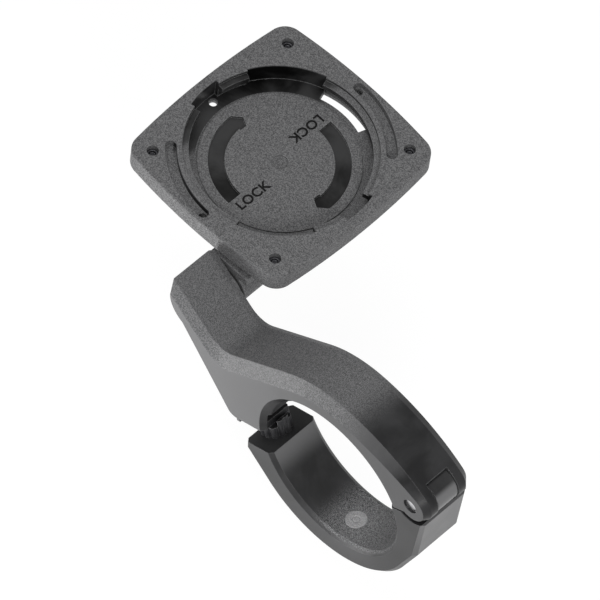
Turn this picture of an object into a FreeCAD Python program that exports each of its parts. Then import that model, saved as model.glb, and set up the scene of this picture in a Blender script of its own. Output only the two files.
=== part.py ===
import FreeCAD, Part
import math
import os

import Sketcher
from FreeCAD import Placement, Rotation, Vector

# A handlebar mount for a small bike computer, in millimetres.
# The origin is the centre of the handlebar bore. +X points forward, +Y to the side that the photograph
# is taken from and +Z up, square to the face of the cradle. The arm carries a strap on a hinge pin and,
# on the other side of its nose, a cradle that tilts about a screw.

doc = FreeCAD.newDocument("ComputerMount")
doc.UndoMode = 0

# Driving dimensions. A text that starts with an equals sign follows from the others.
DIMENSIONS = [
    ("bar_radius", 15.9, "radius of the handlebar bore"),
    ("clamp_width", 11.4, "width of the clamp and of the arm"),
    ("split_tilt", 22.5, "the clamp's split lies this far below the front, degrees"),
    ("ring_wall", 6.6, "wall of the arm's ring over the bore"),
    ("ring_radius", "=bar_radius + ring_wall", "outside of the arm's ring"),
    ("arm_bevel_in", 1.4, "edge bevel of the arm, across its width"),
    ("arm_bevel_down", 2.9, "edge bevel of the arm, down its near side"),
    ("arm_far_bevel_down", 0.9, "edge bevel of the arm, down its far side"),
    ("arm_bore_bevel", 1.4, "bevel round the arm's bore"),
    ("slope_angle", 36.0, "fall and rise of the arm's top, degrees"),
    ("valley_round", 4.5, "rounding between the fall and the rise"),
    ("nose_x", 41.7, "top edge of the nose, forward"),
    ("nose_z", 16.0, "top edge of the nose, height"),
    ("nose_lean", 0.25, "how far the bevel draws the nose back, for each unit down"),
    ("nose_under_x", 37.4, "where the nose's rounded front meets the underside, forward"),
    ("nose_under_z", 7.9, "where the nose's rounded front meets the underside, height"),
    ("nose_bulge", 0.9, "bow of the nose's rounded front"),
    ("lug_reach", 24.4, "outer corner of the lug from the bore's axis, along the split"),
    ("lug_face", 2.7, "lug's lower face above the split plane"),
    ("lug_heel", 1.1, "rounded heel between the lug's face and the underside"),
    ("pocket_width", 9.4, "pocket in the lug, across"),
    ("pocket_reach", 23.6, "pocket in the lug, outer wall from the bore's axis"),
    ("pocket_top", 7.0, "pocket in the lug, height above the split plane"),
    ("skirt_width", 9.8, "skirt in front of the pocket, across"),
    ("skirt_end", 0.8, "skirt's lower edge above the split plane"),
    ("pin_x", -18.3, "hinge pin, forward"),
    ("pin_z", 13.4, "hinge pin, height"),
    ("pin_radius", 1.25, "hinge pin"),
    ("pin_recess", 0.5, "hinge pin's ends below the faces of the ears"),
    ("pin_clearance", 0.1, "running clearance round the hinge pin"),
    ("pin_mouth", 1.5, "mouth of the pin's hole on the ears"),
    ("ear_radius", 3.9, "hinge ears"),
    ("ear_bevel", 0.7, "edge bevel of the near ear"),
    ("ear_far_bevel", 1.3, "edge bevel of the far ear"),
    ("knuckle_width", 4.8, "strap's knuckle, across"),
    ("knuckle_radius", 3.7, "strap's knuckle"),
    ("knuckle_gap", 0.2, "gap at each side of the knuckle"),
    ("slot_clearance", 0.6, "slot's wall round the knuckle"),
    ("seat_clearance", 0.35, "strap's hollow seat round the ears"),
    ("parting_angle", 149.0, "arm's ring ends at the hinge, degrees from forward"),
    ("parting_gap", 0.35, "gap between the arm's ring and the strap"),
    ("strap_face", 2.5, "strap's end face below the split plane"),
    ("strap_offset", 0.9, "centre of the strap's outside, forward and down"),
    ("strap_radius", 20.65, "outside of the strap"),
    ("strap_bevel", 0.8, "bevel round the strap's bore"),
    ("strap_edge", 0.7, "bevel along the strap's outside"),
    ("strap_tip_angle", 225.0, "end of the strap's hook round the ears, degrees"),
    ("strap_tip_radius", 4.75, "outer corner of the strap's hook from the pin"),
    ("neck_draft", 8.0, "sides of the neck under the knuckle, degrees"),
    ("strap_corner_x", -21.15, "foot of the strap's back flat, forward"),
    ("strap_corner_z", -0.8, "foot of the strap's back flat, height"),
    ("strap_flat_angle", 198.0, "where the strap's round begins under its back flat, degrees"),
    ("block_reach", 22.9, "outer side of the strap's end block from the bore's axis"),
    ("block_slope", 1.4, "slope at the end block's outer corner"),
    ("block_foot_angle", 310.0, "where the end block leaves the strap's round, degrees"),
    ("bolt_reach", 20.2, "clamp bolt's axis from the bore's axis"),
    ("bolt_radius", 1.5, "clamp bolt and tilt screw"),
    ("bolt_clearance", 0.2, "clearance holes round the bolt and the screw"),
    ("bolt_seat", 5.6, "bolt washer's seat below the split plane"),
    ("bolt_tip", 0.9, "clamp bolt's tip below the split plane"),
    ("head_radius", 2.75, "heads of the bolt and the screw"),
    ("head_height", 2.8, "heads of the bolt and the screw"),
    ("socket_radius", 1.45, "hexagon sockets, to their corners"),
    ("socket_depth", 1.5, "hexagon sockets"),
    ("washer_radius", 3.0, "plain washers"),
    ("washer_thickness", 0.5, "plain washers"),
    ("counterbore_clearance", 0.25, "counterbores round the washers"),
    ("nut_radius", 3.1, "knurled nut"),
    ("nut_top", 1.2, "knurled nut's top above the split plane"),
    ("nut_ridges", 12.0, "ridges of the knurl"),
    ("nut_groove", 0.35, "depth of the knurl's grooves"),
    ("nut_slot_near", 1.2, "slot in the nut's top starts this far from its axis"),
    ("nut_slot_far", 2.5, "slot in the nut's top ends this far from its axis"),
    ("nut_slot_depth", 1.3, "slot in the nut's top"),
    ("nut_cap", 0.4, "closed metal between the nut's thread and its slot"),
    ("insert_radius", 2.2, "threaded inserts"),
    ("insert_length", 4.5, "threaded inserts"),
    ("thread_clearance", 0.05, "threads and their mates"),
    ("tip_room", 2.5, "free depth beyond the lug's insert"),
    ("pivot_x", 38.2, "tilt axis, forward"),
    ("pivot_z", 7.6, "tilt axis, height"),
    ("pivot_radius", 4.4, "pivot barrel and the boss on the nose"),
    ("boss_length", 7.2, "boss on the nose, from the arm's far face"),
    ("friction_radius", 3.9, "friction washer"),
    ("friction_thickness", 0.5, "friction washer"),
    ("pivot_gap", 0.05, "gap at each side of the friction washer"),
    ("barrel_length", 14.0, "pivot barrel"),
    ("barrel_head_depth", 3.4, "counterbore for the tilt screw's washer and head"),
    ("web_thickness", 5.4, "web between the barrel and the bracket"),
    ("face_z", 18.6, "cradle's face, height"),
    ("cradle_x", 46.9, "cradle's centre, forward"),
    ("cradle_y", -27.6, "cradle's centre, sideways"),
    ("cradle_shorter", 2.4, "how much shorter than wide the cradle is"),
    ("cradle_length", "=cradle_width - cradle_shorter", "cradle over its bowed sides, forward"),
    ("cradle_width", 43.0, "cradle over its bowed sides, across"),
    ("side_bow", 0.95, "bow of the cradle's sides"),
    ("cradle_corner", 3.6, "cradle's corner radius"),
    ("plate_thickness", 2.0, "cradle plate outside its cup"),
    ("base_thickness", 2.0, "cradle base outside its hub"),
    ("top_edge", 0.4, "rounding along the cradle's top edge"),
    ("cup_wall", 1.7, "wall of the cup under the cradle"),
    ("cup_radius", "=recess_radius + cup_wall", "outside of the cup under the cradle"),
    ("rim_margin", 3.8, "cradle's rim beside the recess"),
    ("recess_radius", "=cradle_width / 2 - rim_margin", "round recess in the cradle"),
    ("recess_depth", 4.3, "round recess in the cradle"),
    ("floor_thickness", 1.2, "floor of the recess"),
    ("disc_gap", 2.9, "from the raised disc to the wall of the recess"),
    ("disc_radius", "=recess_radius - disc_gap", "raised disc in the recess"),
    ("disc_height", 0.3, "raised disc in the recess"),
    ("lip_reach", 1.2, "twist-lock lips, inwards from the wall"),
    ("lip_radius", "=recess_radius - lip_reach", "inner edge of the twist-lock lips"),
    ("lip_top", 0.8, "lips below the cradle's face"),
    ("lip_thickness", 1.2, "lips"),
    ("entry_relief", 0.4, "entry notches, into the wall"),
    ("entry_radius", "=recess_radius + entry_relief", "entry notches between the lips"),
    ("notch_relief", 0.8, "small notches, into the wall"),
    ("notch_radius", "=recess_radius + notch_relief", "small notches"),
    ("entry_span", 47.0, "entry notches, degrees"),
    ("notch_span", 22.0, "small notches, degrees"),
    ("long_lip_span", 92.0, "long lips, degrees"),
    ("short_lip_span", 19.0, "short lips, degrees"),
    ("entry_start", 115.0, "first entry notch begins on the dial, degrees"),
    ("notch_start", 74.0, "first small notch begins on the dial, degrees"),
    ("window_land", 1.0, "from the raised disc to the windows"),
    ("window_inner", "=disc_radius + window_land", "inner edge of the windows in the floor"),
    ("window_span", 36.0, "those windows, degrees"),
    ("dial_half_turn", 180.0, "the dial repeats after this turn, degrees"),
    ("spring_offset", 0.3, "curved slots' centre line beyond the cup"),
    ("spring_radius", "=cup_radius + spring_offset", "curved slots, centre line"),
    ("spring_width", 2.1, "curved slots"),
    ("spring_depth", 1.5, "curved slots"),
    ("spring_span", 45.0, "curved slots, degrees"),
    ("drain_radius", 0.8, "through holes at the slots' ends and in one notch"),
    ("drain_tuck", 17.0, "the hole in one small notch begins this far into it, degrees"),
    ("arrow_width", 3.0, "curved arrows, across"),
    ("arrow_margin", 1.9, "from the curved arrows to the disc's edge"),
    ("arrow_inner", "=disc_radius - arrow_margin - arrow_width", "curved arrows, inner edge"),
    ("arrow_outer", "=disc_radius - arrow_margin", "curved arrows, outer edge"),
    ("arrow_depth", 0.5, "curved arrows"),
    ("arrow_span", 88.0, "curved arrows to the root of their heads, degrees"),
    ("arrow_head_span", 8.0, "curved arrows' blunt heads, degrees"),
    ("arrow_barb", 0.35, "how far the heads stand out inside the arrows"),
    ("dimple_radius", 1.5, "dimple at the disc's centre"),
    ("dimple_depth", 0.4, "dimple at the disc's centre"),
    ("nub_radius", 0.5, "nub in the dimple"),
    ("hole_margin_x", 9.9, "cradle's length beyond the corner screws' pitch"),
    ("hole_margin_y", 8.9, "cradle's width beyond the corner screws' pitch"),
    ("hole_pitch_x", "=cradle_length - hole_margin_x", "corner screws, forward pitch"),
    ("hole_pitch_y", "=cradle_width - hole_margin_y", "corner screws, sideways pitch"),
    ("hole_radius", 1.1, "corner screw holes"),
    ("hole_clearance", 0.05, "corner screws in their holes"),
    ("screw_tip_recess", 1.1, "corner screws' tips below the cradle's face"),
    ("screw_head_radius", 1.6, "corner screws' heads"),
    ("screw_head_height", 1.0, "corner screws' heads"),
    ("cup_clearance", 0.2, "gap round the cup in the base"),
    ("hub_thickness", 1.6, "hub under the cup"),
    ("hub_step", 6.9, "from the cup's side in to the hub's"),
    ("hub_radius", "=cup_radius - hub_step", "hub under the cup"),
    ("arm_width", 4.6, "arms between the hub and the base's corners, across"),
    ("riser_thickness", 1.5, "risers between the arms and the base"),
]

sheet = doc.addObject("Spreadsheet::Sheet", "sizes")
for row, (name, number, note) in enumerate(DIMENSIONS, 1):
    sheet.set(f"A{row}", name)
    sheet.set(f"C{row}", note)
    sheet.setAlias(f"B{row}", name)
for row, (name, number, note) in enumerate(DIMENSIONS, 1):
    sheet.set(f"B{row}", str(number))
doc.recompute()


def size(name):
    """A driving dimension as a number."""
    return float(sheet.get(name))


def bind(feature, **formulas):
    """Bind properties of a feature to formulas over the sheet's aliases."""
    for prop, formula in formulas.items():
        words = []
        for word in formula.split():
            words.append("sizes." + word if word[0].isalpha() else word)
        feature.setExpression(prop, " ".join(words))


# Points and paths in a sketch's own plane
def polar(radius, degrees, centre=(0.0, 0.0)):
    """A point at a distance and an angle from a centre."""
    turn = math.radians(degrees)
    return (centre[0] + radius * math.cos(turn), centre[1] + radius * math.sin(turn))


def angle_of(point, centre=(0.0, 0.0)):
    """The angle of a point about a centre, in degrees from 0 to 360."""
    return math.degrees(math.atan2(point[1] - centre[1], point[0] - centre[0])) % 360.0


def split_point(reach, height):
    """A point given along the clamp's split and above its plane, as forward and up."""
    tilt = math.radians(size("split_tilt"))
    across = (math.cos(tilt), -math.sin(tilt))
    above = (math.sin(tilt), math.cos(tilt))
    return (reach * across[0] + height * above[0], reach * across[1] + height * above[1])


def arc(centre, radius, start, end):
    """One step of a path: an arc about a centre, from one angle to another."""
    middle = polar(radius, (start + end) / 2.0, centre)
    return (middle, polar(radius, end, centre))


def bowed(start, end, bow):
    """One step of a path: an arc that bows to the right of the way from start to end."""
    length = math.dist(start, end)
    side = ((end[1] - start[1]) / length, -(end[0] - start[0]) / length)
    middle = ((start[0] + end[0]) / 2.0 + side[0] * bow, (start[1] + end[1]) / 2.0 + side[1] * bow)
    return (middle, end)


def seat_angle(radius, degrees, centre):
    """Where a ray from the origin first meets a circle about a centre, as an angle there."""
    away = math.dist(centre, (0.0, 0.0))
    turn = math.radians(degrees - angle_of(centre))
    along = away * math.cos(turn) - math.sqrt(radius ** 2 - (away * math.sin(turn)) ** 2)
    return angle_of(polar(along, degrees), centre)


def edges_of(path, flat):
    """Sketch geometry of a closed path. A step is a point, or an arc's middle and end."""
    pieces = []
    here = flat(path[0])
    for step in path[1:] + [path[0]]:
        if isinstance(step[0], tuple):
            there = flat(step[1])
            pieces.append(Part.Arc(here, flat(step[0]), there))
        else:
            there = flat(step)
            if here.distanceToPoint(there) < 1e-6:
                continue
            pieces.append(Part.LineSegment(here, there))
        here = there
    return pieces


def sketch(body, name, role, paths, offset=0.0, circles=()):
    """A sketch on one of a body's own planes, with closed paths and circles."""
    plane = next(feature for feature in body.Origin.OriginFeatures if feature.Role == role)
    drawing = body.newObject("Sketcher::SketchObject", name)
    drawing.AttachmentSupport = [(plane, "")]
    drawing.MapMode = "FlatFace"
    drawing.AttachmentOffset = Placement(Vector(0.0, 0.0, offset), Rotation())
    for path in paths:
        first = drawing.GeometryCount
        drawing.addGeometry(edges_of(path, lambda point: Vector(point[0], point[1], 0.0)), False)
        last = drawing.GeometryCount - 1
        for index in range(first, last):
            drawing.addConstraint(join(drawing, index, index + 1))
        drawing.addConstraint(join(drawing, last, first))
    for centre, radius in circles:
        middle = Vector(centre[0], centre[1], 0.0)
        drawing.addGeometry(Part.Circle(middle, Vector(0.0, 0.0, 1.0), radius), False)
    return drawing


def join(drawing, index, following):
    """The end of one edge meets the start of the next, whichever way an arc was stored."""
    best = None
    for end in (1, 2):
        for start in (1, 2):
            gap = drawing.getPoint(index, end).distanceToPoint(drawing.getPoint(following, start))
            if best is None or gap < best[0]:
                best = (gap, end, start)
    return Sketcher.Constraint("Coincident", index, best[1], following, best[2])


def new_body(name):
    """An empty body whose label is the name of its piece."""
    body = doc.addObject("PartDesign::Body", name)
    body.Label = name
    return body


def pad(body, drawing, name, length, both=False, back=False):
    """Extrude a sketch, to one side or evenly to both."""
    feature = body.newObject("PartDesign::Pad", name)
    feature.Profile = drawing
    feature.SideType = "Symmetric" if both else "One side"
    feature.Reversed = back
    bind(feature, Length=length)
    return feature


def pocket(body, drawing, name, length, both=False, back=False):
    """Cut with a sketch, to one side or evenly to both."""
    feature = body.newObject("PartDesign::Pocket", name)
    feature.Profile = drawing
    feature.SideType = "Symmetric" if both else "One side"
    feature.Reversed = back
    bind(feature, Length=length)
    return feature


# The arm
pin = (size("pin_x"), size("pin_z"))
pivot = (size("pivot_x"), size("pivot_z"))
half_width = size("clamp_width") / 2.0
slot_radius = size("knuckle_radius") + size("slot_clearance")
seat_radius = size("ear_radius") + size("seat_clearance")


def back_arc(ring, ear):
    """The centre height and radius of the arc that joins the top of the ring to the ear."""
    drop = ring - pin[1]
    radius = (pin[0] ** 2 + drop ** 2 - ear ** 2) / (2.0 * (drop - ear))
    return ring - radius, radius


def arm_outline(inset, bore, ear):
    """The arm from the side. The inset lowers its top edge, for the bevel on each side."""
    ring = size("ring_radius") - inset
    slope = math.radians(size("slope_angle"))
    rise = math.tan(slope)
    nose = (size("nose_x") - inset * size("nose_lean"), size("nose_z") - inset)
    fall_start = polar(ring, 90.0 - size("slope_angle"))
    fall_z = fall_start[1] + rise * fall_start[0]
    climb_z = nose[1] - rise * nose[0]
    valley = ((fall_z - climb_z) / (2.0 * rise), (fall_z + climb_z) / 2.0)
    reach = size("valley_round") * math.sin(slope)
    shoulder_z = valley[1] + reach * rise
    bottom_z = valley[1] + size("valley_round") * (1.0 / math.cos(slope) - 1.0)
    under = (size("nose_under_x"), size("nose_under_z"))
    heel = size("lug_heel")
    heel_low = split_point(size("lug_reach") - heel, size("lug_face"))
    heel_high = split_point(size("lug_reach") + heel / 2.0, size("lug_face") + heel)
    face_in = split_point(math.sqrt(bore ** 2 - size("lug_face") ** 2), size("lug_face"))
    centre_z, back = back_arc(ring, ear)
    back_end = angle_of(pin, (0.0, centre_z))
    ear_end = seat_angle(ear, size("parting_angle"), pin)
    return [
        face_in,
        heel_low,
        bowed(heel_low, heel_high, heel / 4.0),
        under,
        bowed(under, nose, size("nose_bulge")),
        (valley[0] + reach, shoulder_z),
        ((valley[0], bottom_z), (valley[0] - reach, shoulder_z)),
        fall_start,
        arc((0.0, 0.0), ring, 90.0 - size("slope_angle"), 90.0),
        arc((0.0, centre_z), back, 90.0, back_end),
        arc(pin, ear, back_end, ear_end),
        polar(bore, size("parting_angle")),
        arc((0.0, 0.0), bore, size("parting_angle"), angle_of(face_in) - 360.0),
    ]


def bevelled_slab(body, outline_middle, outline_near, outline_far, bevel):
    """A slab on the middle plane, with a loft to a smaller outline on each side."""
    middle = sketch(body, "middle_outline", "XZ_Plane", [outline_middle])
    pad(body, middle, "middle", "clamp_width - 2 * " + bevel, both=True)
    inner = half_width - size(bevel)
    for side, sign, outline in (("near", -1.0, outline_near), ("far", 1.0, outline_far)):
        start = sketch(body, side + "_start", "XZ_Plane", [outline_middle], sign * inner)
        end = sketch(body, side + "_end", "XZ_Plane", [outline], sign * half_width)
        loft = body.newObject("PartDesign::AdditiveLoft", side + "_bevel")
        loft.Profile = start
        loft.Sections = [end]
        loft.Ruled = True


def split_sketch(body, name, height, circles):
    """A sketch square to the clamp bolt, at a height above the split plane."""
    drawing = sketch(body, name, "XY_Plane", [], 0.0, circles)
    base = split_point(0.0, height)
    turn = Rotation(Vector(0.0, 1.0, 0.0), size("split_tilt"))
    drawing.AttachmentOffset = Placement(Vector(base[0], 0.0, base[1]), turn)
    return drawing


def make_arm():
    """The moulded arm: half the clamp, the lug with its pocket, the hinge ears and the nose."""
    body = new_body("arm_body")
    ear = size("ear_radius")
    bore_edge = size("bar_radius") + size("arm_bore_bevel")
    bevelled_slab(
        body,
        arm_outline(0.0, size("bar_radius"), ear),
        arm_outline(size("arm_bevel_down"), bore_edge, ear - size("ear_bevel")),
        arm_outline(size("arm_far_bevel_down"), bore_edge, ear - size("ear_far_bevel")),
        "arm_bevel_in",
    )
    boss = sketch(body, "boss_outline", "XZ_Plane", [], half_width, [(pivot, size("pivot_radius"))])
    pad(body, boss, "boss", "boss_length", back=True)
    inner, outer = size("pocket_reach"), size("lug_reach")
    low, high = size("skirt_end"), size("lug_face") + size("lug_heel")
    skirt = [split_point(inner, low), split_point(outer, low), split_point(outer, high),
             split_point(inner, high)]
    pad(body, sketch(body, "skirt_outline", "XZ_Plane", [skirt]), "skirt", "skirt_width", both=True)
    low, high = -size("strap_face"), size("pocket_top")
    into_bore = math.sqrt(size("bar_radius") ** 2 - high ** 2) - size("lug_face")
    window = [split_point(into_bore, low), split_point(inner, low), split_point(inner, high),
              split_point(into_bore, high)]
    pocket(body, sketch(body, "lug_window", "XZ_Plane", [window]), "lug_pocket", "pocket_width", both=True)
    slot = sketch(body, "slot_outline", "XZ_Plane", [], 0.0, [(pin, slot_radius)])
    pocket(body, slot, "knuckle_slot", "knuckle_width + 2 * knuckle_gap", both=True)
    tight = size("pin_radius") + size("thread_clearance")
    hole = sketch(body, "pin_hole_outline", "XZ_Plane", [], 0.0, [(pin, tight)])
    pocket(body, hole, "pin_hole", "clamp_width", both=True)
    for side, sign in (("near", -1.0), ("far", 1.0)):
        mouth = sketch(body, side + "_mouth_outline", "XZ_Plane", [], sign * half_width,
                       [(pin, size("pin_mouth"))])
        pocket(body, mouth, side + "_mouth", "pin_recess", back=sign < 0.0)
    snug = size("insert_radius") + size("thread_clearance")
    free = size("bolt_radius") + size("bolt_clearance")
    bolt = (size("bolt_reach"), 0.0)
    seat = split_sketch(body, "lug_insert_outline", size("pocket_top"), [(bolt, snug)])
    pocket(body, seat, "lug_insert_seat", "insert_length", back=True)
    tip = split_sketch(body, "lug_tip_outline", size("pocket_top"), [(bolt, free)])
    pocket(body, tip, "lug_tip_hole", "insert_length + tip_room", back=True)
    seat = sketch(body, "tilt_insert_outline", "XZ_Plane", [], half_width, [(pivot, snug)])
    pocket(body, seat, "tilt_insert_seat", "insert_length")
    return body


# The strap
def strap_start(bore):
    """The angle at which the strap begins, past the gap at the end of the arm's ring."""
    return size("parting_angle") + math.degrees(size("parting_gap") / bore)


def strap_outline(inset, bore):
    """The strap from the side. The inset draws its outside in, for the bevel on each side."""
    offset = size("strap_offset")
    centre = (offset, -offset)
    outside = size("strap_radius") - inset
    face = -size("strap_face")
    face_in = split_point(math.sqrt(bore ** 2 - face ** 2), face)
    start = strap_start(bore)
    seat_end = seat_angle(seat_radius, start, pin)
    tip = size("strap_tip_angle")
    reach, slope = size("block_reach") - inset, size("block_slope")
    return [
        face_in,
        arc((0.0, 0.0), bore, angle_of(face_in), start),
        polar(seat_radius, seat_end, pin),
        arc(pin, seat_radius, seat_end, tip),
        polar(size("strap_tip_radius") - inset, tip, pin),
        (size("strap_corner_x") + inset, size("strap_corner_z")),
        polar(outside, size("strap_flat_angle"), centre),
        arc(centre, outside, size("strap_flat_angle"), size("block_foot_angle")),
        split_point(reach, face - slope),
        split_point(reach - slope / 3.0, face),
    ]


def make_strap():
    """The moulded strap: half the clamp, its knuckle and the end block for the bolt."""
    body = new_body("strap")
    side = strap_outline(size("strap_edge"), size("bar_radius") + size("strap_bevel"))
    bevelled_slab(body, strap_outline(0.0, size("bar_radius")), side, side, "strap_bevel")
    tip, draft = size("strap_tip_angle"), size("neck_draft")
    seat_end = seat_angle(seat_radius, strap_start(size("bar_radius")), pin)
    inner, outer = size("pin_radius") + size("slot_clearance"), seat_radius + size("slot_clearance")
    neck = [
        polar(inner, seat_end, pin),
        arc(pin, inner, seat_end, tip),
        polar(seat_radius, tip, pin),
        polar(outer, tip + draft, pin),
        arc(pin, outer, tip + draft, seat_end - draft),
        polar(seat_radius, seat_end, pin),
    ]
    pad(body, sketch(body, "neck_outline", "XZ_Plane", [neck]), "neck", "knuckle_width", both=True)
    knuckle = sketch(body, "knuckle_outline", "XZ_Plane", [], 0.0, [(pin, size("knuckle_radius"))])
    pad(body, knuckle, "knuckle", "knuckle_width", both=True)
    loose = size("pin_radius") + size("pin_clearance")
    hole = sketch(body, "pin_hole_outline", "XZ_Plane", [], 0.0, [(pin, loose)])
    pocket(body, hole, "pin_hole", "clamp_width", both=True)
    bolt = (size("bolt_reach"), 0.0)
    free = size("bolt_radius") + size("bolt_clearance")
    wide = size("washer_radius") + size("counterbore_clearance")
    shaft = split_sketch(body, "bolt_outline", -size("strap_face"), [(bolt, free)])
    pocket(body, shaft, "bolt_hole", "strap_radius / 2")
    seat = split_sketch(body, "washer_outline", -size("bolt_seat"), [(bolt, wide)])
    pocket(body, seat, "washer_seat", "strap_radius / 2")
    return body


# Turned pieces
def on_bolt(height):
    """The bolt's own frame at a height above the split plane. The frame's Z is the bolt's axis."""
    point = split_point(size("bolt_reach"), height)
    return Placement(Vector(point[0], 0.0, point[1]), Rotation(Vector(0.0, 1.0, 0.0), size("split_tilt")))


def along_y(centre, start):
    """A frame whose Z runs along +Y from a place on an axis."""
    return Placement(Vector(centre[0], start, centre[1]), Rotation(Vector(1.0, 0.0, 0.0), -90.0))


def cylinder(name, radius, height, place, shift=0.0):
    """A cylinder whose radius and height follow formulas, moved along its own axis."""
    solid = doc.addObject("Part::Cylinder", name)
    bind(solid, Radius=radius, Height=height)
    solid.Placement = place * Placement(Vector(0.0, 0.0, shift), Rotation())
    return solid


def combine(kind, name, base, tool):
    """A boolean of two objects."""
    result = doc.addObject(kind, name)
    result.Base = base
    result.Tool = tool
    return result


def labelled(result, label):
    """The same object, with the name of its piece."""
    result.Label = label
    return result


def tube(label, outer, inner, height, place):
    """A washer, a ring or a threaded insert."""
    outside = cylinder(label + "_outside", outer, height, place)
    inside = cylinder(label + "_inside", inner, height, place)
    return labelled(combine("Part::Cut", label + "_ring", outside, inside), label)


def socket_screw(label, length, place):
    """A cap screw with a hexagon socket. The frame's Z runs from its head to its tip."""
    head = cylinder(label + "_head", "head_radius", "head_height", place)
    shank = cylinder(label + "_shank", "bolt_radius", length, place, size("head_height"))
    socket = doc.addObject("Part::Prism", label + "_socket")
    socket.Polygon = 6
    bind(socket, Circumradius="socket_radius", Height="socket_depth")
    socket.Placement = place
    blank = combine("Part::Fuse", label + "_blank", head, shank)
    return labelled(combine("Part::Cut", label + "_cut", blank, socket), label)


def make_hinge_pin():
    """The plain steel pin of the hinge."""
    place = along_y(pin, size("pin_recess") - half_width)
    return labelled(cylinder("pin_round", "pin_radius", "clamp_width - 2 * pin_recess", place), "hinge_pin")


def make_clamp_screw():
    """The bolt through the strap's end, its washer and the insert that it screws into."""
    under_head = -size("bolt_seat") - size("washer_thickness")
    bolt = socket_screw("clamp_bolt", "bolt_seat + washer_thickness - bolt_tip",
                        on_bolt(under_head - size("head_height")))
    washer = tube("bolt_washer", "washer_radius", "bolt_radius + bolt_clearance", "washer_thickness",
                  on_bolt(under_head))
    insert = tube("lug_insert", "insert_radius", "bolt_radius + thread_clearance", "insert_length",
                  on_bolt(size("pocket_top")))
    return [bolt, washer, insert]


def make_clamp_nut():
    """The knurled nut: a round of shallow ridges with a slot across its top."""
    body = new_body("clamp_nut")
    crest, root = size("nut_radius"), size("nut_radius") - size("nut_groove")
    ridges = int(size("nut_ridges"))
    step = 360.0 / ridges
    knurl = [polar(root, 0.0)]
    for ridge in range(ridges):
        knurl.append((polar(crest, (ridge + 0.5) * step), polar(root, (ridge + 1.0) * step)))
    pad(body, sketch(body, "knurl_outline", "XY_Plane", [knurl]), "knurl", "nut_top + strap_face")
    near, far = -size("nut_slot_near"), -size("nut_slot_far")
    slot = [(near, -crest), (near, crest), (far, crest), (far, -crest)]
    top = sketch(body, "slot_outline", "XY_Plane", [slot], size("nut_top") + size("strap_face"))
    pocket(body, top, "slot", "nut_slot_depth")
    thread = size("bolt_radius") + size("thread_clearance")
    hole = sketch(body, "thread_outline", "XY_Plane", [], 0.0, [((0.0, 0.0), thread)])
    pocket(body, hole, "thread", "nut_top + strap_face - nut_slot_depth - nut_cap", back=True)
    body.Placement = on_bolt(-size("strap_face"))
    return body


# The cradle
barrel_start = -half_width - size("friction_thickness") - 2.0 * size("pivot_gap")
barrel_end = barrel_start - size("barrel_length")
cradle = (size("cradle_x"), size("cradle_y"))
cup_depth = size("recess_depth") + size("floor_thickness")
hub_depth = cup_depth + size("hub_thickness")
corners = []
for side_x in (-0.5, 0.5):
    for side_y in (-0.5, 0.5):
        corners.append((side_x * size("hole_pitch_x"), side_y * size("hole_pitch_y")))


def dial(radius, degrees):
    """A point on the cradle's dial. Its angles start at -Y and grow towards -X."""
    return polar(radius, -90.0 - degrees)


def dial_sector(inner, outer, start, end):
    """A closed path round part of a ring on the dial."""
    middle = (start + end) / 2.0
    return [
        dial(inner, start),
        dial(outer, start),
        (dial(outer, middle), dial(outer, end)),
        dial(inner, end),
        (dial(inner, middle), dial(inner, start)),
    ]


def dial_slot(radius, width, start, end):
    """A curved slot with round ends."""
    inner, outer = radius - width / 2.0, radius + width / 2.0
    middle = (start + end) / 2.0
    cap = math.degrees(width / 2.0 / radius)
    return [
        dial(inner, start),
        (dial(radius, start - cap), dial(outer, start)),
        (dial(outer, middle), dial(outer, end)),
        (dial(radius, end + cap), dial(inner, end)),
        (dial(inner, middle), dial(inner, start)),
    ]


def dial_arrow(start):
    """A curved arrow that ends in a blunt head."""
    inner, outer, barb = size("arrow_inner"), size("arrow_outer"), size("arrow_barb")
    root = start + size("arrow_span")
    end = root + size("arrow_head_span")
    middle = (start + root) / 2.0
    return [
        dial(inner, start),
        dial(outer, start),
        (dial(outer, middle), dial(outer, root + size("arrow_head_span") / 2.0)),
        dial((inner + outer) / 2.0, end + size("arrow_head_span") / 2.0),
        dial(inner - barb, end),
        dial(inner - barb, root),
        dial(inner, root),
        (dial(inner, middle), dial(inner, start)),
    ]


def twice(start, make):
    """What is made at a place on the dial, and again after the dial's half turn."""
    return [make(start), make(start + size("dial_half_turn"))]


def bowed_oblong(length, width, bow, corner):
    """A rounded oblong about the origin. Each side bows outwards and runs smoothly into the corners."""
    inset = bow + corner
    middle = (length / 2.0 - inset, width / 2.0 - inset)
    turns = []
    for across in (middle[1], middle[0]):
        radius = (inset ** 2 + across ** 2 - corner ** 2) / (2.0 * bow)
        turns.append(math.degrees(math.atan2(across, radius - inset)))
    spans = (
        (1.0, 1.0, turns[0], 90.0 - turns[1]),
        (-1.0, 1.0, 90.0 + turns[1], 180.0 - turns[0]),
        (-1.0, -1.0, 180.0 + turns[0], 270.0 - turns[1]),
        (1.0, -1.0, 270.0 + turns[1], 360.0 - turns[0]),
    )
    sides = ((length / 2.0, 0.0), (0.0, width / 2.0), (-length / 2.0, 0.0), (0.0, -width / 2.0))
    path = []
    for (sign_x, sign_y, start, end), side in zip(spans, sides):
        centre = (sign_x * middle[0], sign_y * middle[1])
        begin = polar(corner, start, centre)
        path.append((side, begin) if path else begin)
        path.append(arc(centre, corner, start, end))
    path.append((sides[0], path[0]))
    return path


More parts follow.
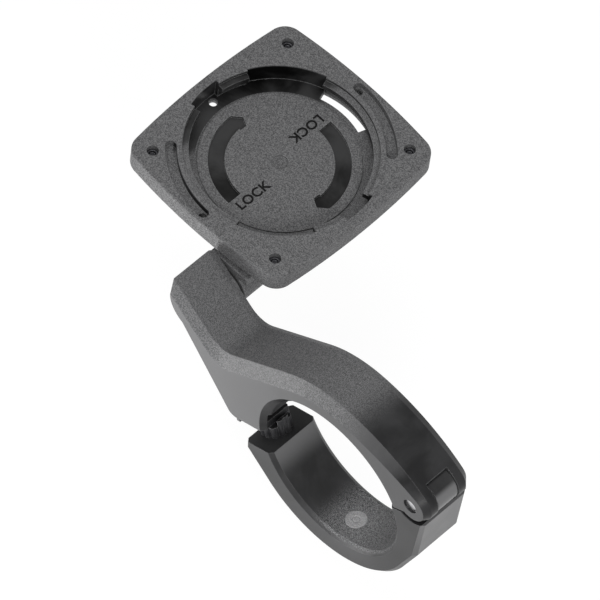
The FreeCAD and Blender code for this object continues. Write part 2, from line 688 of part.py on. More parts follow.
def make_cradle_plate():
    """The cradle's face: a bowed plate with the twist-lock recess and its lips."""
    body = new_body("cradle_plate")
    outline = bowed_oblong(size("cradle_length"), size("cradle_width"), size("side_bow"),
                           size("cradle_corner"))
    base = sketch(body, "rim_outline", "XY_Plane", [outline], -size("plate_thickness"))
    rim = pad(body, base, "rim", "plate_thickness")
    doc.recompute()
    top = []
    for index, edge in enumerate(rim.Shape.Edges, 1):
        if abs(edge.BoundBox.ZMin) < 1e-6 and abs(edge.BoundBox.ZMax) < 1e-6:
            top.append(f"Edge{index}")
    rounding = body.newObject("PartDesign::Fillet", "top_rounding")
    rounding.Base = (rim, top)
    bind(rounding, Radius="top_edge")

    def level(name, depth, paths, circles=()):
        return sketch(body, name, "XY_Plane", paths, -depth, circles)

    middle = (0.0, 0.0)
    recess = size("recess_radius")
    cup = level("cup_outline", cup_depth, [], [(middle, size("cup_radius"))])
    pad(body, cup, "cup", "recess_depth + floor_thickness - plate_thickness / 2")
    pocket(body, level("recess_outline", 0.0, [], [(middle, recess)]), "recess", "recess_depth")
    root = size("lip_radius")
    entry, notch = size("entry_start"), size("notch_start")
    long_lip = entry + size("entry_span")
    short_lip = notch + size("notch_span")
    entries = twice(entry, lambda at: dial_sector(root, size("entry_radius"), at, at + size("entry_span")))
    pocket(body, level("entry_outline", 0.0, entries), "entries", "recess_depth")
    notches = twice(notch, lambda at: dial_sector(root, size("notch_radius"), at, at + size("notch_span")))
    pocket(body, level("notch_outline", 0.0, notches), "notches", "recess_depth")
    wall = recess + size("disc_height")
    lips = twice(long_lip, lambda at: dial_sector(root, wall, at, at + size("long_lip_span")))
    lips += twice(short_lip, lambda at: dial_sector(root, wall, at, at + size("short_lip_span")))
    under_lip = size("lip_top") + size("lip_thickness")
    pad(body, level("lip_outline", under_lip, lips), "lips", "lip_thickness")
    disc = level("disc_outline", size("recess_depth"), [], [(middle, size("disc_radius"))])
    pad(body, disc, "disc", "disc_height")
    opening = size("window_inner")
    windows = twice(long_lip, lambda at: dial_sector(opening, recess, at, at + size("window_span")))
    pocket(body, level("window_outline", size("recess_depth"), windows), "windows", "floor_thickness")
    ring, width = size("spring_radius"), size("spring_width")
    springs = twice(0.0, lambda at: dial_slot(ring, width, at, at + size("spring_span")))
    pocket(body, level("spring_outline", 0.0, springs), "spring_slots", "spring_depth")
    disc_depth = size("recess_depth") - size("disc_height")
    pocket(body, level("arrow_outline", disc_depth, twice(0.0, dial_arrow)), "arrows", "arrow_depth")
    dimple = level("dimple_outline", disc_depth, [], [(middle, size("dimple_radius"))])
    pocket(body, dimple, "dimple", "dimple_depth")
    nub = level("nub_outline", disc_depth + size("dimple_depth"), [], [(middle, size("nub_radius"))])
    pad(body, nub, "nub", "dimple_depth")
    drain = size("drain_radius")
    drains = twice(0.0, lambda at: (dial(ring, at), drain))
    tucked = notch + size("dial_half_turn") + size("drain_tuck")
    drains.append((dial((opening + size("notch_radius")) / 2.0, tucked), drain))
    pocket(body, level("drain_outline", 0.0, [], drains), "drains", "recess_depth + floor_thickness")
    holes = [(corner, size("hole_radius")) for corner in corners]
    pocket(body, level("hole_outline", 0.0, [], holes), "screw_holes", "plate_thickness")
    body.Placement = Placement(Vector(cradle[0], cradle[1], size("face_z")), Rotation())
    return body


def make_base():
    """The base under the plate: a frame round the cup, a hub below it and the pivot barrel."""
    body = new_body("cradle_base")
    base_z = size("face_z") - hub_depth
    frame_low = hub_depth - size("plate_thickness") - size("base_thickness")
    outline = bowed_oblong(size("cradle_length"), size("cradle_width"), size("side_bow"),
                           size("cradle_corner"))
    opening = [((0.0, 0.0), size("cup_radius") + size("cup_clearance"))]
    frame = sketch(body, "frame_outline", "XY_Plane", [outline], frame_low, opening)
    pad(body, frame, "frame", "base_thickness")
    hub = sketch(body, "hub_outline", "XY_Plane", [], 0.0, [((0.0, 0.0), size("hub_radius"))])
    pad(body, hub, "hub", "hub_thickness")
    half_arm = size("arm_width") / 2.0
    inner = size("cup_radius") + size("cup_clearance")
    outer = inner + size("riser_thickness")
    for index, corner in enumerate(corners, 1):
        arm = turned_oblong(corner, 0.0, outer, half_arm)
        pad(body, sketch(body, f"arm_{index}_outline", "XY_Plane", [arm]), f"arm_{index}", "hub_thickness")
        riser = turned_oblong(corner, inner, outer, half_arm)
        pad(body, sketch(body, f"riser_{index}_outline", "XY_Plane", [riser]), f"riser_{index}",
            "recess_depth + floor_thickness + hub_thickness - plate_thickness")
    axis = (pivot[0] - cradle[0], pivot[1] - base_z)
    near, far = barrel_start - cradle[1], barrel_end - cradle[1]
    flange = oblong(axis[0], size("pivot_radius"), far, near)
    pad(body, sketch(body, "flange_outline", "XY_Plane", [flange]), "flange", "hub_thickness")
    web = oblong(axis[0], size("web_thickness") / 2.0, far, near)
    pad(body, sketch(body, "web_outline", "XY_Plane", [web]), "web",
        "face_z - recess_depth - floor_thickness - hub_thickness - pivot_z", back=True)
    barrel = sketch(body, "barrel_outline", "XZ_Plane", [], -near, [(axis, size("pivot_radius"))])
    pad(body, barrel, "barrel", "barrel_length")
    free = size("bolt_radius") + size("bolt_clearance")
    wide = size("washer_radius") + size("counterbore_clearance")
    hole = sketch(body, "tilt_hole_outline", "XZ_Plane", [], -near, [(axis, free)])
    pocket(body, hole, "tilt_hole", "barrel_length", back=True)
    seat = sketch(body, "head_seat_outline", "XZ_Plane", [], -far, [(axis, wide)])
    pocket(body, seat, "head_seat", "barrel_head_depth")
    drain = size("drain_radius")
    ring = size("spring_radius")
    passages = [(corner, size("hole_radius")) for corner in corners]
    passages += twice(0.0, lambda at: (dial(ring, at), drain))
    through = sketch(body, "passage_outline", "XY_Plane", [], frame_low, passages)
    pocket(body, through, "passages", "base_thickness", back=True)
    body.Placement = Placement(Vector(cradle[0], cradle[1], base_z), Rotation())
    return body


def turned_oblong(towards, start, end, half_across):
    """A rectangle that runs out from the origin towards a point."""
    length = math.hypot(*towards)
    along = (towards[0] / length, towards[1] / length)
    path = []
    for reach, across in ((start, -1.0), (end, -1.0), (end, 1.0), (start, 1.0)):
        path.append((along[0] * reach - along[1] * across * half_across,
                     along[1] * reach + along[0] * across * half_across))
    return path


def oblong(middle_x, half_x, low_y, high_y):
    """A plain rectangle."""
    return [(middle_x - half_x, low_y), (middle_x + half_x, low_y), (middle_x + half_x, high_y),
            (middle_x - half_x, high_y)]


def make_corner_screws():
    """The four screws that hold the plate on its base, heads below."""
    under = size("face_z") - size("plate_thickness") - size("base_thickness")
    screws = []
    for index, corner in enumerate(corners, 1):
        place = Placement(Vector(cradle[0] + corner[0], cradle[1] + corner[1], under), Rotation())
        head = cylinder(f"screw_{index}_head", "screw_head_radius", "screw_head_height", place,
                        -size("screw_head_height"))
        shank = cylinder(f"screw_{index}_shank", "hole_radius - hole_clearance",
                         "plate_thickness + base_thickness - screw_tip_recess", place)
        screws.append(combine("Part::Fuse", f"screw_{index}", head, shank))
    group = doc.addObject("Part::Compound", "screw_group")
    group.Links = screws
    return labelled(group, "corner_screws")


def make_tilt_screw():
    """The screw that the cradle tilts on, with its washers and the insert in the nose."""
    seat = barrel_end + size("barrel_head_depth")
    under_head = seat - size("washer_thickness")
    screw = socket_screw("tilt_screw", "barrel_length - barrel_head_depth + washer_thickness"
                         " + friction_thickness + 2 * pivot_gap + insert_length",
                         along_y(pivot, under_head - size("head_height")))
    washer = tube("tilt_washer", "washer_radius", "bolt_radius + bolt_clearance", "washer_thickness",
                  along_y(pivot, under_head))
    ring = tube("friction_washer", "friction_radius", "bolt_radius + bolt_clearance",
                "friction_thickness", along_y(pivot, barrel_start + size("pivot_gap")))
    insert = tube("tilt_insert", "insert_radius", "bolt_radius + thread_clearance", "insert_length",
                  along_y(pivot, -half_width))
    return [screw, washer, ring, insert]


# Build, check and write
pieces = [make_arm(), make_strap(), make_hinge_pin()]
pieces += make_clamp_screw()
pieces += [make_clamp_nut(), make_cradle_plate(), make_base(), make_corner_screws()]
pieces += make_tilt_screw()
doc.recompute()

for entry in doc.Objects:
    if "Invalid" in entry.State or "Error" in entry.State:
        raise RuntimeError(f"{entry.Name} is {entry.State}")
for piece in pieces:
    if piece.Shape.isNull() or not piece.Shape.isValid():
        raise RuntimeError(f"{piece.Label} has no sound shape")

os.makedirs("parts", exist_ok=True)
for piece in pieces:
    piece.Shape.exportStep(f"parts/{piece.Label}.step")
    box = piece.Shape.BoundBox
    print(f"{piece.Label}: {len(piece.Shape.Solids)} solids, {piece.Shape.Volume:.1f} mm3,"
          f" z {box.ZMin:.1f} to {box.ZMax:.1f}")
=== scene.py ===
import math

import bpy
from mathutils import Matrix, Vector


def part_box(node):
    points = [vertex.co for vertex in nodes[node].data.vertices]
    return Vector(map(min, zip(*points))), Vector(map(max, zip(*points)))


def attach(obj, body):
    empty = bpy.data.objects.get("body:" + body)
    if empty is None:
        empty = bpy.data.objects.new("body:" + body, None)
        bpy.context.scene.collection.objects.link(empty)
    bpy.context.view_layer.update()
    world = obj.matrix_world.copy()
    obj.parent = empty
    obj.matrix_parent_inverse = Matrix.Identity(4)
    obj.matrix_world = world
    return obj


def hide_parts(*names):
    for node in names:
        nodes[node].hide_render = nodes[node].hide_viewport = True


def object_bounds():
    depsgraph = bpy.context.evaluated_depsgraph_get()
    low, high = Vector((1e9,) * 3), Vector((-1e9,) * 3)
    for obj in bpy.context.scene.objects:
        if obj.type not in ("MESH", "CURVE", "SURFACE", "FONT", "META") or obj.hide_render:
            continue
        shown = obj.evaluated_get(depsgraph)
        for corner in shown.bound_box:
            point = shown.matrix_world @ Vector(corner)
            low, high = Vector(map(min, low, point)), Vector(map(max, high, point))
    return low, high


# The looks of a handlebar mount for a small bike computer, in metres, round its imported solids.
# +X points forward, +Y to the side that the photograph shows and +Z out of the cradle's face.

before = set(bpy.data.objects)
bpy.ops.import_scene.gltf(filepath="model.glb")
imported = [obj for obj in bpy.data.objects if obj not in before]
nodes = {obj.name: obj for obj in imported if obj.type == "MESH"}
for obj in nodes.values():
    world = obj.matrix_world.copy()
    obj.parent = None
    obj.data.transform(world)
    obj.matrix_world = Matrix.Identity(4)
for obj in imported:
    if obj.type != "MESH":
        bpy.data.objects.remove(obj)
cad_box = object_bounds()

MM = 0.001

# Places read from the solids
plate_low, plate_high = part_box("cradle_plate")
screw_low, screw_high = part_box("corner_screws")
dial_x = (plate_low.x + plate_high.x) / 2.0
dial_y = (plate_low.y + plate_high.y) / 2.0
face_z = plate_high.z

# Depths under the cradle's face, and the clamp's bore
DISC_DROP = 4.0 * MM
HUB_DROP = 7.1 * MM
BORE_RADIUS = 15.9 * MM
disc_z = face_z - DISC_DROP
hub_bottom = face_z - HUB_DROP

# A face looks straight up or down when the Z of its normal is past this
STRAIGHT = 0.9


# Small helpers for modelling
def select_only(*pieces):
    """Leaves only these objects selected, the last one active."""
    bpy.ops.object.select_all(action="DESELECT")
    for piece in pieces:
        piece.select_set(True)
    bpy.context.view_layer.objects.active = pieces[-1]


def named(name):
    """The active object, with its name and its mesh's."""
    piece = bpy.context.object
    piece.name = name
    piece.data.name = name
    return piece


def settle(piece):
    """Puts a piece's place into its mesh."""
    select_only(piece)
    bpy.ops.object.transform_apply(location=True, rotation=True, scale=True)


def pick(piece, test):
    """Selects the faces of a piece that pass a test, and stays in edit mode."""
    select_only(piece)
    bpy.ops.object.mode_set(mode="EDIT")
    bpy.ops.mesh.select_mode(type="FACE")
    bpy.ops.mesh.select_all(action="DESELECT")
    bpy.ops.object.mode_set(mode="OBJECT")
    for face in piece.data.polygons:
        face.select = test(face)
    bpy.ops.object.mode_set(mode="EDIT")


def pick_all():
    """Selects all of the active piece, and stays in edit mode."""
    bpy.ops.object.mode_set(mode="EDIT")
    bpy.ops.mesh.select_all(action="SELECT")


def done():
    """Back to object mode."""
    bpy.ops.object.mode_set(mode="OBJECT")


def step_inwards(steps):
    """Insets the selected face step by step. Each step is a width and a rise, in millimetres."""
    for width, rise in steps:
        bpy.ops.mesh.inset(thickness=width * MM, depth=rise * MM)


def faces_up(face):
    """Whether a face looks straight up."""
    return face.normal.z > STRAIGHT


def faces_down(face):
    """Whether a face looks straight down."""
    return face.normal.z < -STRAIGHT


def copy_of(piece, name, place):
    """A copy with a mesh of its own, moved by a matrix."""
    twin = piece.copy()
    twin.data = piece.data.copy()
    twin.name = name
    twin.data.name = name
    bpy.context.scene.collection.objects.link(twin)
    twin.data.transform(place)
    return twin


def joined(name, pieces):
    """Several objects as one."""
    select_only(*pieces)
    bpy.ops.object.join()
    return named(name)


# Small helpers for shader nodes
def add_node(tree, kind, values=(), **settings):
    """A shader node with its settings, and values for its inputs."""
    item = tree.nodes.new(kind)
    for key, value in settings.items():
        setattr(item, key, value)
    for key, value in dict(values).items():
        item.inputs[key].default_value = value
    return item


def give(tree, value, socket):
    """Feeds an input with another node's output, a colour or a number."""
    if isinstance(value, bpy.types.NodeSocket):
        tree.links.new(value, socket)
    elif isinstance(value, tuple):
        socket.default_value = (*value, 1.0)
    else:
        socket.default_value = value


def calculate(tree, operation, *terms):
    """One step of arithmetic on sockets or numbers."""
    item = add_node(tree, "ShaderNodeMath", operation=operation)
    for socket, term in zip(item.inputs, terms):
        give(tree, term, socket)
    return item.outputs[0]


def squares(tree, first, second):
    """The sum of two squares."""
    return calculate(tree, "ADD", calculate(tree, "MULTIPLY", first, first),
                     calculate(tree, "MULTIPLY", second, second))


def ramp(tree, source, low, high, out_low=0.0, out_high=1.0):
    """Maps a value softly from one range to another. Low may be above high."""
    item = add_node(tree, "ShaderNodeMapRange", {1: low, 2: high, 3: out_low, 4: out_high},
                    interpolation_type="SMOOTHSTEP", clamp=True)
    tree.links.new(source, item.inputs[0])
    return item.outputs[0]


def between(tree, value, low, high, soft):
    """A mask that is one inside a band of a value, with soft ends."""
    return calculate(tree, "MULTIPLY", ramp(tree, value, low - soft, low + soft),
                     ramp(tree, value, high + soft, high - soft))


def split(tree, vector):
    """A vector's X, Y and Z."""
    item = add_node(tree, "ShaderNodeSeparateXYZ")
    tree.links.new(vector, item.inputs[0])
    return item.outputs


def place_and_facing(tree):
    """The place on the object and the normal, each as separate X, Y and Z."""
    coordinates = add_node(tree, "ShaderNodeTexCoord").outputs
    return split(tree, coordinates["Object"]), split(tree, coordinates["Normal"])


def texture(tree, kind, scale, values=(), stretch=None, **settings):
    """A texture on the object's own coordinates, which may be stretched along its axes."""
    place = add_node(tree, "ShaderNodeTexCoord").outputs["Object"]
    if stretch:
        mapping = add_node(tree, "ShaderNodeMapping", {"Scale": stretch})
        tree.links.new(place, mapping.inputs["Vector"])
        place = mapping.outputs[0]
    item = add_node(tree, kind, values, **settings)
    tree.links.new(place, item.inputs["Vector"])
    tree.links.new(scale, item.inputs["Scale"])
    return item.outputs[0]


def blend_colours(tree, amount, first, second):
    """Two colours mixed by a mask. Each is a socket or a colour."""
    item = add_node(tree, "ShaderNodeMix", data_type="RGBA")
    colour_inputs = [socket for socket in item.inputs if socket.type == "RGBA"]
    for socket, value in zip(colour_inputs, (first, second)):
        give(tree, value, socket)
    tree.links.new(amount, item.inputs[0])
    return next(socket for socket in item.outputs if socket.type == "RGBA")


def blend_values(tree, amount, first, second):
    """Two numbers mixed by a mask."""
    item = add_node(tree, "ShaderNodeMix", data_type="FLOAT")
    for socket, value in zip(item.inputs[2:4], (first, second)):
        give(tree, value, socket)
    tree.links.new(amount, item.inputs[0])
    return item.outputs[0]


def bumped(tree, height, strength, distance, normal):
    """A normal from a height, over the softened edges."""
    item = add_node(tree, "ShaderNodeBump", {"Distance": distance})
    give(tree, strength, item.inputs["Strength"])
    tree.links.new(height, item.inputs["Height"])
    tree.links.new(normal, item.inputs["Normal"])
    return item.outputs[0]


# Shared shader groups
def new_group(name, inputs, outputs):
    """An empty shader group with named inputs that are numbers, and named outputs."""
    tree = bpy.data.node_groups.new(name, "ShaderNodeTree")
    for label, usual in inputs.items():
        socket = tree.interface.new_socket(name=label, in_out="INPUT", socket_type="NodeSocketFloat")
        socket.default_value = usual
    for label, kind in outputs.items():
        tree.interface.new_socket(name=label, in_out="OUTPUT", socket_type=kind)
    entry = tree.nodes.new("NodeGroupInput")
    leave = tree.nodes.new("NodeGroupOutput")
    return tree, entry.outputs, leave.inputs


# Grain: scales against its main one, shares in the mix, and where the speckle starts and ends
GRAIN_SCALE = 6000.0
PIT_SCALE = 0.8
BROAD_SCALE = 0.4
FINE_SHARE = 0.8
BROAD_SHARE = 0.2
PIT_SHARE = 0.5
SPECKLE_RANGE = (0.41, 0.6)


def eroded_grain():
    """Spark-eroded mould grain: a fine and a broad speckle, and a height with shallow pits."""
    tree, given, gives = new_group("eroded_grain", {"Grain": GRAIN_SCALE},
                                   {"Speckle": "NodeSocketFloat", "Height": "NodeSocketFloat"})
    pit_scale = calculate(tree, "MULTIPLY", given["Grain"], PIT_SCALE)
    broad_scale = calculate(tree, "MULTIPLY", given["Grain"], BROAD_SCALE)
    fine = texture(tree, "ShaderNodeTexNoise", given["Grain"], {"Detail": 3.0, "Roughness": 0.62})
    broad = texture(tree, "ShaderNodeTexNoise", broad_scale, {"Detail": 2.0})
    pits = texture(tree, "ShaderNodeTexVoronoi", pit_scale, feature="SMOOTH_F1")
    mixed = calculate(tree, "ADD", calculate(tree, "MULTIPLY", fine, FINE_SHARE),
                      calculate(tree, "MULTIPLY", broad, BROAD_SHARE))
    sunk = calculate(tree, "MULTIPLY", pits, PIT_SHARE)
    tree.links.new(ramp(tree, mixed, *SPECKLE_RANGE), gives["Speckle"])
    tree.links.new(calculate(tree, "ADD", mixed, sunk), gives["Height"])
    return tree


# Edges: their soft radius, the cosines where the paler edge starts and is full, and the patches that are
# less pale. The paler edge is partly wear and partly a painted highlight
MOULDED_EDGE = 0.24 * MM
MOULDED_BREAKUP = 1400.0
RUB_AND_HIGHLIGHT_TURN = (0.995, 0.86)
BREAKUP_RANGE = (0.3, 0.7)
LEAST_RUB_AND_HIGHLIGHT = 0.35
EDGE_SAMPLES = 6


def edge_wear_and_highlight():
    """The soft radius of moulded or turned edges, and a mask of where they are painted paler, partly as
    wear and partly as a painted highlight.
    """
    tree, given, gives = new_group("edge_wear_and_highlight", {"Radius": MOULDED_EDGE, "Breakup": MOULDED_BREAKUP},
                                   {"Mask": "NodeSocketFloat", "Normal": "NodeSocketVector"})
    bevel = add_node(tree, "ShaderNodeBevel", samples=EDGE_SAMPLES)
    tree.links.new(given["Radius"], bevel.inputs["Radius"])
    geometry = add_node(tree, "ShaderNodeNewGeometry")
    along = add_node(tree, "ShaderNodeVectorMath", operation="DOT_PRODUCT")
    tree.links.new(bevel.outputs[0], along.inputs[0])
    tree.links.new(geometry.outputs["Normal"], along.inputs[1])
    edge = ramp(tree, along.outputs["Value"], *RUB_AND_HIGHLIGHT_TURN)
    patches = texture(tree, "ShaderNodeTexNoise", given["Breakup"], {"Detail": 3.0})
    broken = ramp(tree, patches, *BREAKUP_RANGE, LEAST_RUB_AND_HIGHLIGHT, 1.0)
    tree.links.new(calculate(tree, "MULTIPLY", edge, broken), gives["Mask"])
    tree.links.new(bevel.outputs[0], gives["Normal"])
    return tree


MOULDED_HAZE = 110.0
HAZE_RANGE = (0.35, 0.65)


def handling_haze():
    """Slow changes of sheen left by the mould and by fingers."""
    tree, given, gives = new_group("handling_haze", {"Size": MOULDED_HAZE}, {"Haze": "NodeSocketFloat"})
    cloud = texture(tree, "ShaderNodeTexNoise", given["Size"],
                    {"Detail": 4.0, "Roughness": 0.55, "Distortion": 0.4})
    tree.links.new(ramp(tree, cloud, *HAZE_RANGE), gives["Haze"])
    return tree


TURNED_SCALE = 9000.0
TURNED_STRETCH = (0.15, 1.0, 0.15)
TURNED_RANGE = (0.3, 0.7)


def turned_lines():
    """Fine lathe or drawing lines, as a height and a faint shade."""
    tree, given, gives = new_group("turned_lines", {"Lines": TURNED_SCALE},
                                   {"Shade": "NodeSocketFloat", "Height": "NodeSocketFloat"})
    lines = texture(tree, "ShaderNodeTexNoise", given["Lines"], {"Detail": 2.0}, TURNED_STRETCH)
    tree.links.new(ramp(tree, lines, *TURNED_RANGE), gives["Shade"])
    tree.links.new(lines, gives["Height"])
    return tree


GRAIN = eroded_grain()
EDGES = edge_wear_and_highlight()
HAZE = handling_haze()
LINES = turned_lines()


# Materials
def new_material(name, metallic=0.0, specular=0.5):
    """A material with its shader, ready for links."""
    material = bpy.data.materials.new(name)
    material.use_nodes = True
    tree = material.node_tree
    tree.nodes.clear()
    levels = {"Metallic": metallic, "Specular IOR Level": specular}
    shader = add_node(tree, "ShaderNodeBsdfPrincipled", levels)
    leave = add_node(tree, "ShaderNodeOutputMaterial")
    tree.links.new(shader.outputs[0], leave.inputs["Surface"])
    return material, tree, shader.inputs


def use_group(tree, group, **values):
    """A shared group placed in a material, with its own values."""
    return add_node(tree, "ShaderNodeGroup", values, node_tree=group).outputs


# Plastic: shares of the haze and of the paler edge in its colour, then its sheen and its bumps. The paler
# edge is partly wear and partly a painted highlight
HAZE_SHARE = 0.12
RUB_AND_HIGHLIGHT_SHARE = 0.55
SMOOTH_ROUGHNESS = (0.3, 0.4)
GRAIN_ROUGHNESS = (0.66, 0.5)
SMOOTH_BUMP = 0.08
GRAIN_BUMP = 0.5
GRAIN_DEPTH = 0.08 * MM
PLASTIC_RUB_AND_HIGHLIGHT = (0.16, 0.16, 0.165)


def plastic(name, pits, crests, smooth, mask_of, sides_painted_light=None, painted_light_of=None, specular=0.3,
            edge=PLASTIC_RUB_AND_HIGHLIGHT):
    """Black glass-filled plastic. A mask says where it keeps the eroded grain and where it is smooth.

    Another mask may pick smooth sides that are painted paler, as painted light."""
    material, tree, shader = new_material(name, specular=specular)
    grain = use_group(tree, GRAIN, Grain=GRAIN_SCALE)
    edges = use_group(tree, EDGES, Radius=MOULDED_EDGE, Breakup=MOULDED_BREAKUP)
    haze = use_group(tree, HAZE, Size=MOULDED_HAZE)
    grained = mask_of(tree)
    # Painted light: smooth flat sides are painted paler
    if painted_light_of:
        smooth = blend_colours(tree, painted_light_of(tree), smooth, sides_painted_light)
    hazed = blend_colours(tree, calculate(tree, "MULTIPLY", haze["Haze"], HAZE_SHARE), smooth, edge)
    speckled = blend_colours(tree, grain["Speckle"], pits, crests)
    body = blend_colours(tree, grained, hazed, speckled)
    # The paler edge is partly wear and partly a painted highlight
    rubbed_and_highlit = calculate(tree, "MULTIPLY", edges["Mask"], RUB_AND_HIGHLIGHT_SHARE)
    tree.links.new(blend_colours(tree, rubbed_and_highlit, body, edge), shader["Base Color"])
    smooth_sheen = blend_values(tree, haze["Haze"], *SMOOTH_ROUGHNESS)
    grain_sheen = blend_values(tree, grain["Speckle"], *GRAIN_ROUGHNESS)
    tree.links.new(blend_values(tree, grained, smooth_sheen, grain_sheen), shader["Roughness"])
    strength = blend_values(tree, grained, SMOOTH_BUMP, GRAIN_BUMP)
    tree.links.new(bumped(tree, grain["Height"], strength, GRAIN_DEPTH, edges["Normal"]), shader["Normal"])
    return material


# Metal: its edges and haze, how much duller the haze makes it, and its bumps
TURNED_EDGE = 0.15 * MM
TURNED_BREAKUP = 2500.0
TURNED_HAZE = 400.0
HAZE_DULLING = 0.12
TURNED_BUMP = 0.2
TURNED_DEPTH = 0.03 * MM


def metal(name, colour, lined, rough, lines, edge, metallic=1.0):
    """Drawn, turned or blackened metal with lines along it and paler edges."""
    material, tree, shader = new_material(name, metallic=metallic)
    ridges = use_group(tree, LINES, Lines=lines)
    edges = use_group(tree, EDGES, Radius=TURNED_EDGE, Breakup=TURNED_BREAKUP)
    haze = use_group(tree, HAZE, Size=TURNED_HAZE)
    body = blend_colours(tree, ridges["Shade"], colour, lined)
    tree.links.new(blend_colours(tree, edges["Mask"], body, edge), shader["Base Color"])
    tree.links.new(blend_values(tree, haze["Haze"], rough, rough + HAZE_DULLING), shader["Roughness"])
    normal = bumped(tree, ridges["Height"], TURNED_BUMP, TURNED_DEPTH, edges["Normal"])
    tree.links.new(normal, shader["Normal"])
    return material


# Where each moulding is grained or smooth, and where light or shade is painted on it: ramps of a normal's
# part, or of a place
ARM_FLAT = (0.72, 0.9)
# Painted light: how the arm's side colour fades from the nose backwards, and the strap's lit sides and back
ARM_LIGHT_FALLOFF = (-12.0 * MM, 30.0 * MM)
ARM_LIGHT_LEAST = 0.62
ARM_UPWARD = (0.1, 0.5)
ARM_FORWARD = (-7.0 * MM, 1.0 * MM)
STRAP_FLAT = (0.5, 0.9)
STRAP_SIDE_LIGHT_SHARE = 0.13
STRAP_LIT_BACK = (-0.6, -0.85)
STRAP_BORE = (16.6 * MM, 16.1 * MM)
STRAP_LOW_END = (4.0 * MM, -1.0 * MM)


def arm_painted_light(tree):
    """The arm's two flat sides, painted paler as painted light, and more so towards the nose."""
    place, facing = place_and_facing(tree)
    flat = ramp(tree, calculate(tree, "ABSOLUTE", facing["Y"]), *ARM_FLAT)
    return calculate(tree, "MULTIPLY", flat, ramp(tree, place["X"], *ARM_LIGHT_FALLOFF, ARM_LIGHT_LEAST, 1.0))


def arm_grain(tree):
    """The arm is grained on top, forward of the ring's highest line, and smooth on its sides and behind."""
    place, facing = place_and_facing(tree)
    return calculate(tree, "MULTIPLY", ramp(tree, place["X"], *ARM_FORWARD),
                     ramp(tree, facing["Z"], *ARM_UPWARD))


def strap_painted_light(tree):
    """The strap's flat back, and less so its two flat sides, painted paler as painted light."""
    _, facing = place_and_facing(tree)
    flat = ramp(tree, calculate(tree, "ABSOLUTE", facing["Y"]), *STRAP_FLAT, 0.0, STRAP_SIDE_LIGHT_SHARE)
    return calculate(tree, "MAXIMUM", flat, ramp(tree, facing["X"], *STRAP_LIT_BACK))


def strap_grain(tree):
    """The strap is grained low in its bore and smooth elsewhere."""
    place, _ = place_and_facing(tree)
    outer, inner = STRAP_BORE
    inside = ramp(tree, squares(tree, place["X"], place["Z"]), outer ** 2, inner ** 2)
    return calculate(tree, "MULTIPLY", inside, ramp(tree, place["X"], *STRAP_LOW_END))


# The dial's smooth black places: radii, depths under the disc or the face, and the way to the forward
# ledge. The arrows are black; the recess's steep sides and forward ledge are painted shade
ARROW_BAND = (8.8 * MM, 13.9 * MM)
ARROW_DEPTH = (0.8 * MM, 0.15 * MM)
WALL_BAND = (15.2 * MM, 19.2 * MM)
WALL_DEPTH = (4.7 * MM, 0.35 * MM)
WALL_STEEP = (0.7, 0.4)
SHADED_LEDGE_WAY = (0.95, -0.31)
SHADED_LEDGE_RANGE = (7.2 * MM, 9.5 * MM)

# How softly the bands end
NARROW_SOFT = 0.05 * MM
WIDE_SOFT = 0.15 * MM


def cradle_grain_and_shade(tree):
    """The cradle is grained, but smooth black in its arrows, and its recess's steep sides and forward ledge
    are painted black as shade.
    """
    place, facing = place_and_facing(tree)
    across = calculate(tree, "SUBTRACT", place["X"], dial_x)
    along = calculate(tree, "SUBTRACT", place["Y"], dial_y)
    radius = calculate(tree, "SQRT", squares(tree, across, along))
    arrow_deep, arrow_shallow = ARROW_DEPTH
    sunk = between(tree, place["Z"], disc_z - arrow_deep, disc_z - arrow_shallow, NARROW_SOFT)
    arrows = calculate(tree, "MULTIPLY", between(tree, radius, *ARROW_BAND, NARROW_SOFT), sunk)
    # Painted shade: the recess's steep sides and its forward ledge are painted black
    steep = ramp(tree, facing["Z"], *WALL_STEEP)
    ahead = calculate(tree, "ADD", calculate(tree, "MULTIPLY", across, SHADED_LEDGE_WAY[0]),
                      calculate(tree, "MULTIPLY", along, SHADED_LEDGE_WAY[1]))
    shaded_parts = calculate(tree, "MAXIMUM", steep, ramp(tree, ahead, *SHADED_LEDGE_RANGE))
    wall_deep, wall_shallow = WALL_DEPTH
    lowered = between(tree, place["Z"], face_z - wall_deep, face_z - wall_shallow, WIDE_SOFT)
    ring = between(tree, radius, *WALL_BAND, NARROW_SOFT)
    painted_shade = calculate(tree, "MULTIPLY", calculate(tree, "MULTIPLY", ring, shaded_parts), lowered)
    return calculate(tree, "SUBTRACT", 1.0, calculate(tree, "MAXIMUM", arrows, painted_shade))


BLACK = (0.002, 0.002, 0.002)

